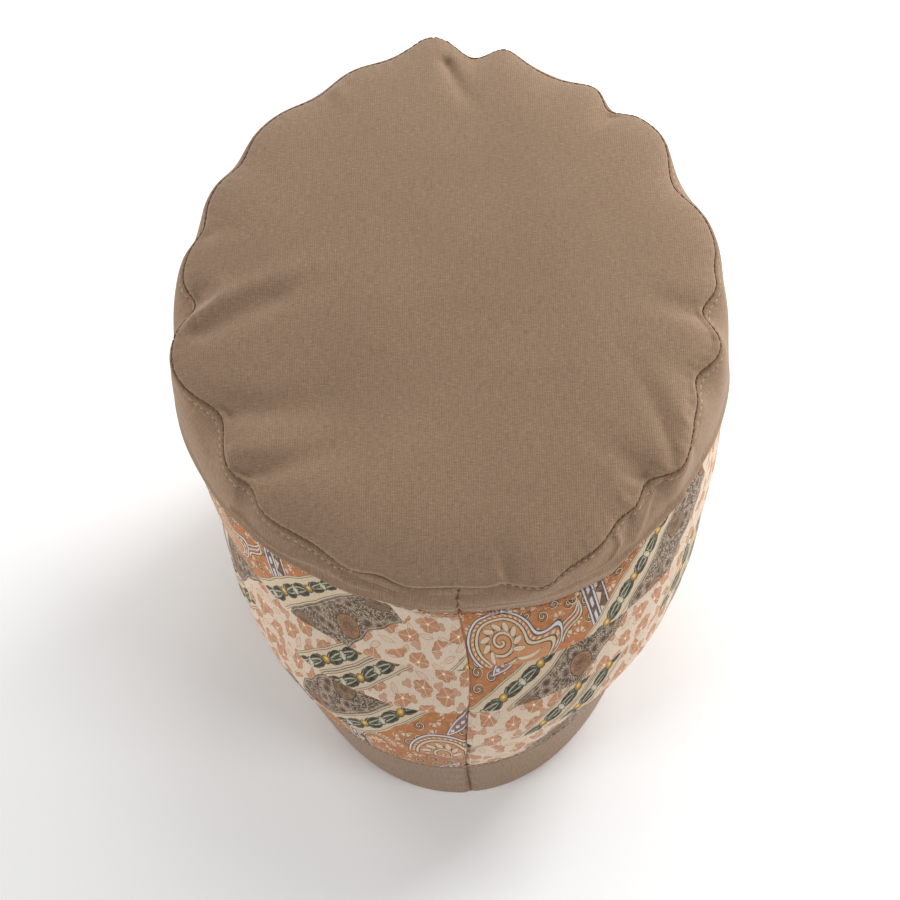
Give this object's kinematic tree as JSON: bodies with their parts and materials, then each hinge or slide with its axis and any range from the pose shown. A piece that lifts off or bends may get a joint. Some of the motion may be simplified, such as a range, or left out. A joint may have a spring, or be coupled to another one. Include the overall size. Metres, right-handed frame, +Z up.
{
  "type": "pull-on turban cap",
  "caption": "Soft sewn turban cap: puffed oval crown, rolled side band, printed band laid in tucks and a folded hem.",
  "frame": {"origin": "on the surface the rim stands on, under the middle of the cap's bounding box", "axes": "+Z up, +Y the wearer's forward, +X the wearer's right; the centre back seams face -Y"},
  "size_m": [0.211, 0.2524, 0.1652],
  "materials": {
    "plain_jersey": "matte taupe brown cotton jersey",
    "printed_jersey": "matte cotton jersey printed in cream, orange, coral, green and brown"
  },
  "bodies": {
    "root": {"crown_panel": "plain_jersey", "side_band": "plain_jersey", "print_band": "printed_jersey", "hem_band": "plain_jersey"}
  },
  "joints": []
}
